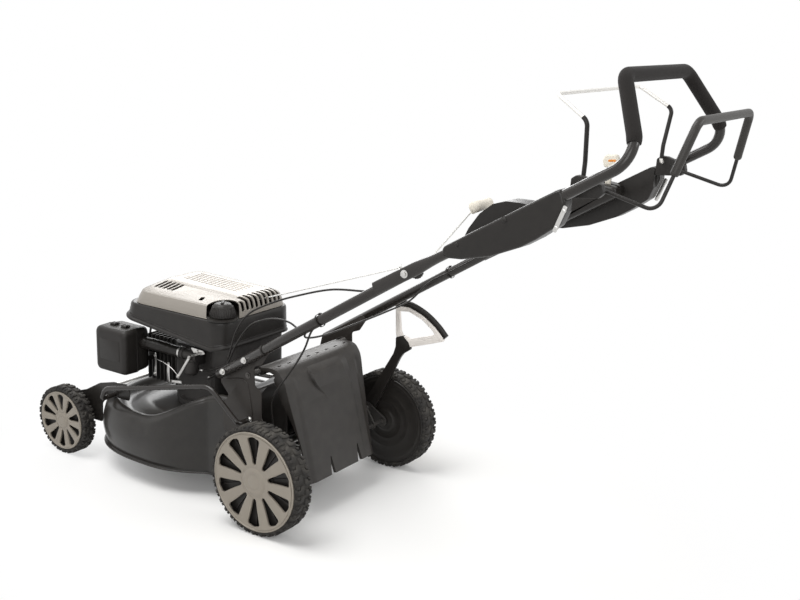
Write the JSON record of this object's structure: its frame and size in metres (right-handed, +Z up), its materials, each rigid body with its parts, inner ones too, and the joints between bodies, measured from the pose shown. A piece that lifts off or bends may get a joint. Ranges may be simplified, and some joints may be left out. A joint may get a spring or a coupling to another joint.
{
  "type": "self-propelled lawn mower",
  "caption": "Walk-behind petrol lawn mower with a pressed deck, rear discharge flap, folding tube handle with two bails, linked height adjustment and belt-driven rear wheels.",
  "frame": {"origin": "on the ground under the centre of the whole machine's box", "axes": "+Z up, +Y from the handle towards the front wheels, +X to the right as seen by a person at the handle"},
  "size_m": [0.614, 1.8559, 1.1656],
  "materials": {
    "deck_paint": "glossy",
    "bracket_paint": "satin",
    "tube_paint": "satin",
    "bare_steel": "satin",
    "cast_alloy": "matte",
    "black_plastic": "matte",
    "flap_plastic": "matte",
    "champagne_plastic": "satin",
    "taupe_plastic": "satin",
    "ivory_plastic": "satin",
    "tread_rubber": "matte",
    "soft_rubber": "matte",
    "rope_fibre": "matte"
  },
  "bodies": {
    "machine": {"deck": "deck_paint", "rear_chute": "black_plastic", "front_plate_left": "deck_paint", "front_plate_right": "deck_paint", "handle_bracket_left": "bracket_paint", "handle_bracket_right": "bracket_paint", "side_bar": "tube_paint", "engine_block": "cast_alloy", "engine_shroud": "black_plastic", "engine_cover": "champagne_plastic", "carburettor": "cast_alloy", "filter_base": "black_plastic", "muffler": "bare_steel", "gearbox": "cast_alloy", "drive_belt": "soft_rubber", "handle_lower_left": "tube_paint", "handle_lower_right": "tube_paint", "starter_rope_lower": "rope_fibre", "stop_cable": "black_plastic", "throttle_cable": "black_plastic", "drive_cable": "black_plastic", "speed_cable": "black_plastic"},
    "blade_shaft": {"crankshaft": "bare_steel", "blade": "bare_steel"},
    "gearbox_input": {"gearbox_pulley": "bare_steel"},
    "rear_axle_frame": {"rear_axle": "bare_steel", "dust_cover_left": "black_plastic", "dust_cover_right": "black_plastic", "height_lever": "ivory_plastic"},
    "rear_left_wheel": {"rear_left_tyre": "tread_rubber", "rear_left_rim": "black_plastic", "rear_left_hub_cap": "taupe_plastic"},
    "rear_right_wheel": {"rear_right_tyre": "tread_rubber", "rear_right_rim": "black_plastic", "rear_right_hub_cap": "taupe_plastic"},
    "front_left_wheel": {"front_left_tyre": "tread_rubber", "front_left_rim": "black_plastic", "front_left_hub_cap": "taupe_plastic"},
    "front_right_wheel": {"front_right_tyre": "tread_rubber", "front_right_rim": "black_plastic", "front_right_hub_cap": "taupe_plastic"},
    "pinion_left": {"pinion_left": "bare_steel"},
    "pinion_right": {"pinion_right": "bare_steel"},
    "drive_shaft": {"drive_shaft": "bare_steel"},
    "front_axle_frame": {"front_axle": "bare_steel"},
    "link_rod": {"height_link_rod": "bare_steel"},
    "flap": {"rear_flap": "flap_plastic"},
    "upper_handle": {"handle_upper": "tube_paint", "foam_grip": "soft_rubber", "side_cover_left": "black_plastic", "side_cover_right": "black_plastic", "bail_mount_left": "black_plastic", "bail_mount_right": "black_plastic", "starter_rope_upper": "rope_fibre"},
    "stop_bail": {"brake_bail": "bare_steel"},
    "traction_bail": {"drive_bail": "bare_steel"},
    "speed_lever": {"speed_lever": "ivory_plastic"},
    "starter_grip": {"starter_grip": "ivory_plastic"},
    "fuel_cap": {"fuel_cap": "black_plastic"},
    "filter_cover": {"filter_cover": "black_plastic"}
  },
  "joints": [
    {"name": "blade_spin", "type": "hinge", "parent": "machine", "child": "blade_shaft", "pos_m": [0, 0.4639, 0.1], "axis": [0, 0, 1], "continuous": true},
    {"name": "gearbox_input_spin", "type": "hinge", "parent": "machine", "child": "gearbox_input", "pos_m": [0, 0.13886, 0.126], "axis": [0, 0, 1], "continuous": true},
    {"name": "height_adjust", "type": "hinge", "parent": "machine", "child": "rear_axle_frame", "pos_m": [0, 0.10086, 0.17], "axis": [-1, 0, 0], "range_deg": [0, 40]},
    {"name": "front_height", "type": "hinge", "parent": "machine", "child": "front_axle_frame", "pos_m": [0, 0.88136, 0.129], "axis": [-1, 0, 0], "range_deg": [0, 40]},
    {"name": "link_rod_swing", "type": "hinge", "parent": "rear_axle_frame", "child": "link_rod", "pos_m": [0, 0.10086, 0.22], "axis": [-1, 0, 0], "range_deg": [-40, 0]},
    {"name": "rear_left_roll", "type": "hinge", "parent": "rear_axle_frame", "child": "rear_left_wheel", "pos_m": [0, 0.0489, 0.14], "axis": [-1, 0, 0], "continuous": true},
    {"name": "rear_right_roll", "type": "hinge", "parent": "rear_axle_frame", "child": "rear_right_wheel", "pos_m": [0, 0.0489, 0.14], "axis": [-1, 0, 0], "continuous": true},
    {"name": "front_left_roll", "type": "hinge", "parent": "front_axle_frame", "child": "front_left_wheel", "pos_m": [0, 0.8294, 0.099], "axis": [-1, 0, 0], "continuous": true},
    {"name": "front_right_roll", "type": "hinge", "parent": "front_axle_frame", "child": "front_right_wheel", "pos_m": [0, 0.8294, 0.099], "axis": [-1, 0, 0], "continuous": true},
    {"name": "pinion_left_spin", "type": "hinge", "parent": "rear_axle_frame", "child": "pinion_left", "pos_m": [0, 0.10086, 0.17], "axis": [-1, 0, 0], "continuous": true},
    {"name": "pinion_right_spin", "type": "hinge", "parent": "rear_axle_frame", "child": "pinion_right", "pos_m": [0, 0.10086, 0.17], "axis": [-1, 0, 0], "continuous": true},
    {"name": "drive_shaft_spin", "type": "hinge", "parent": "machine", "child": "drive_shaft", "pos_m": [0, 0.10086, 0.17], "axis": [-1, 0, 0], "continuous": true},
    {"name": "flap_lift", "type": "hinge", "parent": "machine", "child": "flap", "pos_m": [0, 0.1539, 0.366], "axis": [-1, 0, 0], "range_deg": [0, 70], "stiffness_Nm_per_rad": 2, "springref_deg": -22.92},
    {"name": "handle_fold", "type": "hinge", "parent": "machine", "child": "upper_handle", "pos_m": [0, -0.3321, 0.7082], "axis": [-1, 0, 0], "range_deg": [0, 130]},
    {"name": "stop_bail_pull", "type": "hinge", "parent": "upper_handle", "child": "stop_bail", "pos_m": [0, -0.7161, 0.947], "axis": [1, 0, 0], "range_deg": [0, 28], "stiffness_Nm_per_rad": 1.5, "springref_deg": -28.65},
    {"name": "traction_bail_pull", "type": "hinge", "parent": "upper_handle", "child": "traction_bail", "pos_m": [0, -0.7571, 0.934], "axis": [-1, 0, 0], "range_deg": [0, 30], "stiffness_Nm_per_rad": 2.5, "springref_deg": -34.38},
    {"name": "speed_select", "type": "hinge", "parent": "upper_handle", "child": "speed_lever", "pos_m": [0.184, -0.5991, 0.86906], "axis": [-1, 0, 0], "range_deg": [-20, 20]},
    {"name": "starter_pull", "type": "slide", "parent": "upper_handle", "child": "starter_grip", "axis": [0, -0.7786, 0.6275], "range_m": [0, 0.25], "stiffness_N_per_m": 40, "springref_m": -0.1},
    {"name": "fuel_cap_turn", "type": "hinge", "parent": "machine", "child": "fuel_cap", "pos_m": [-0.119, 0.3179, 0.4655], "axis": [0, 0, 1], "range_deg": [0, 90]},
    {"name": "filter_cover_open", "type": "hinge", "parent": "machine", "child": "filter_cover", "pos_m": [-0.15, 0.6659, 0.264], "axis": [0, -1, 0], "range_deg": [0, 30]}
  ],
  "couplings": [
    {"joint": "gearbox_input_spin", "follows": "blade_spin", "ratio": 0.6817},
    {"joint": "front_height", "follows": "height_adjust", "ratio": 1},
    {"joint": "link_rod_swing", "follows": "height_adjust", "ratio": -1},
    {"joint": "pinion_left_spin", "follows": "rear_left_roll", "ratio": 4},
    {"joint": "pinion_right_spin", "follows": "rear_right_roll", "ratio": 4}
  ]
}
